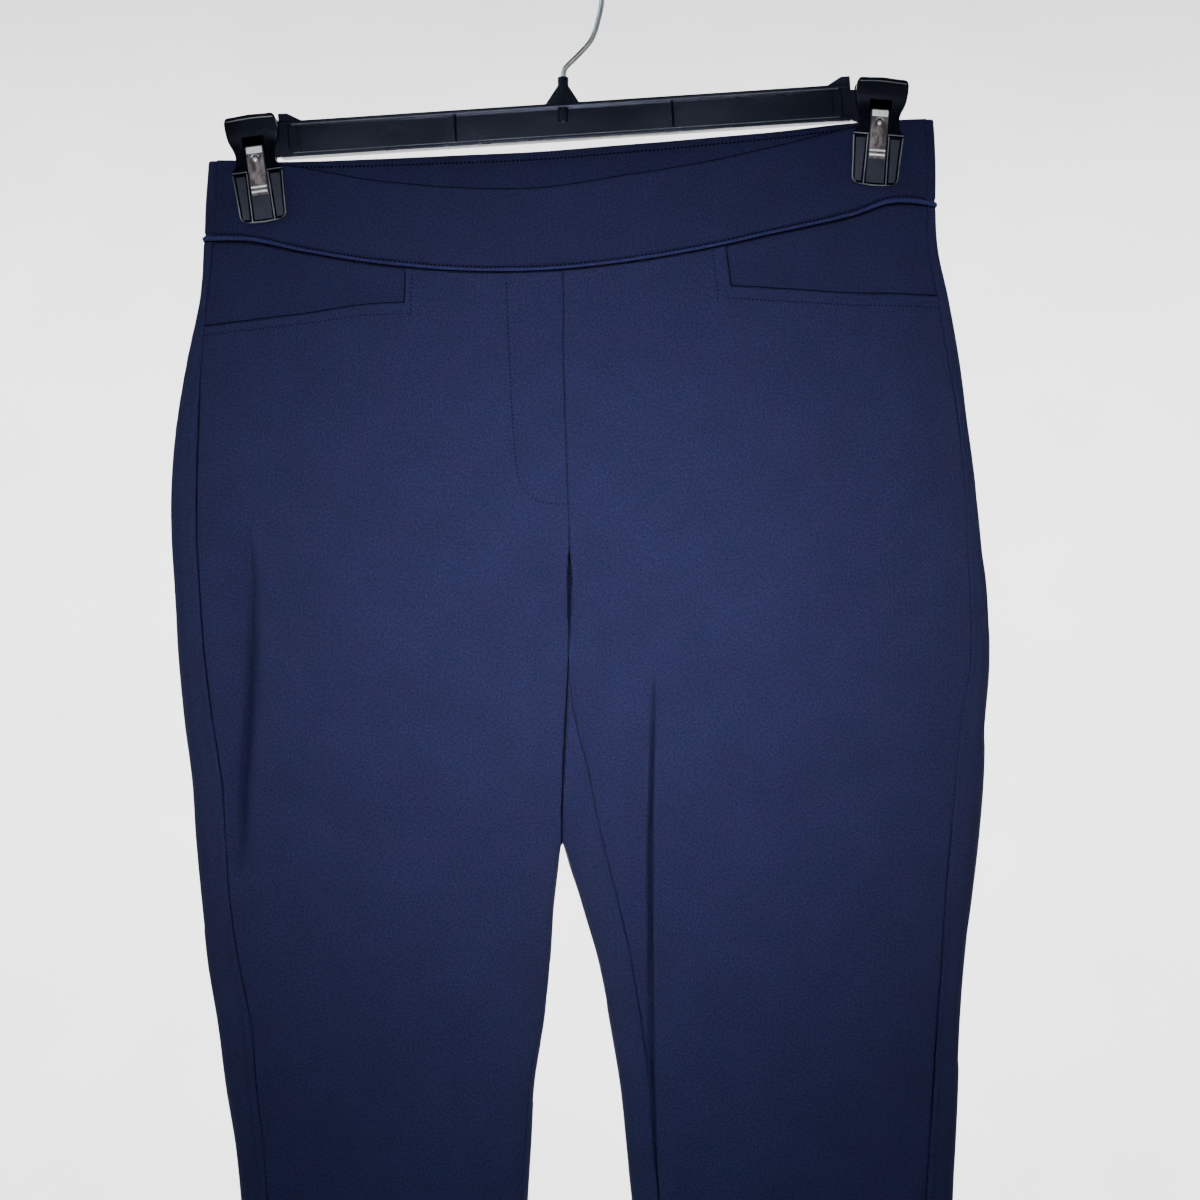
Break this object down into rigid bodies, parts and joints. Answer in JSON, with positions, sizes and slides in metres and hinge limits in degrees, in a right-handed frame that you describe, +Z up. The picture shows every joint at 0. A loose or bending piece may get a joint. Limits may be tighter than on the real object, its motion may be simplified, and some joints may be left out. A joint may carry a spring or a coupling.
{
  "type": "leggings on a clip hanger",
  "caption": "Slim knit leggings with a wide waistband and mock front pockets, hung flat by the waistband from a plastic clip hanger with a wire hook.",
  "frame": {"origin": "the inner top of the hook's crook, where a rail carries the hanger", "axes": "+Z up; -Y is the front of the garment; +X is to the right seen from the front"},
  "size_m": [0.426, 0.0452, 1.0748],
  "materials": {
    "cloth": "matt navy double knit",
    "waistband": "matt navy double knit, elasticated",
    "hanger": "semi-gloss blue-black moulded plastic",
    "clip": "glossy black moulded plastic",
    "wire": "bright plated steel wire",
    "spring": "zinc-plated spring steel"
  },
  "bodies": {
    "root": {"waistband_front": "waistband", "waistband_back": "waistband", "front_leg_left": "cloth", "front_leg_right": "cloth", "back_leg_left": "cloth", "back_leg_right": "cloth", "pocket_facing_left": "cloth", "pocket_facing_right": "cloth", "hanger_bar": "hanger", "hanger_hook": "wire", "clip_front_jaw_left": "clip", "clip_back_jaw_left": "clip", "clip_spring_left": "spring", "clip_front_jaw_right": "clip", "clip_back_jaw_right": "clip", "clip_spring_right": "spring"}
  },
  "joints": []
}
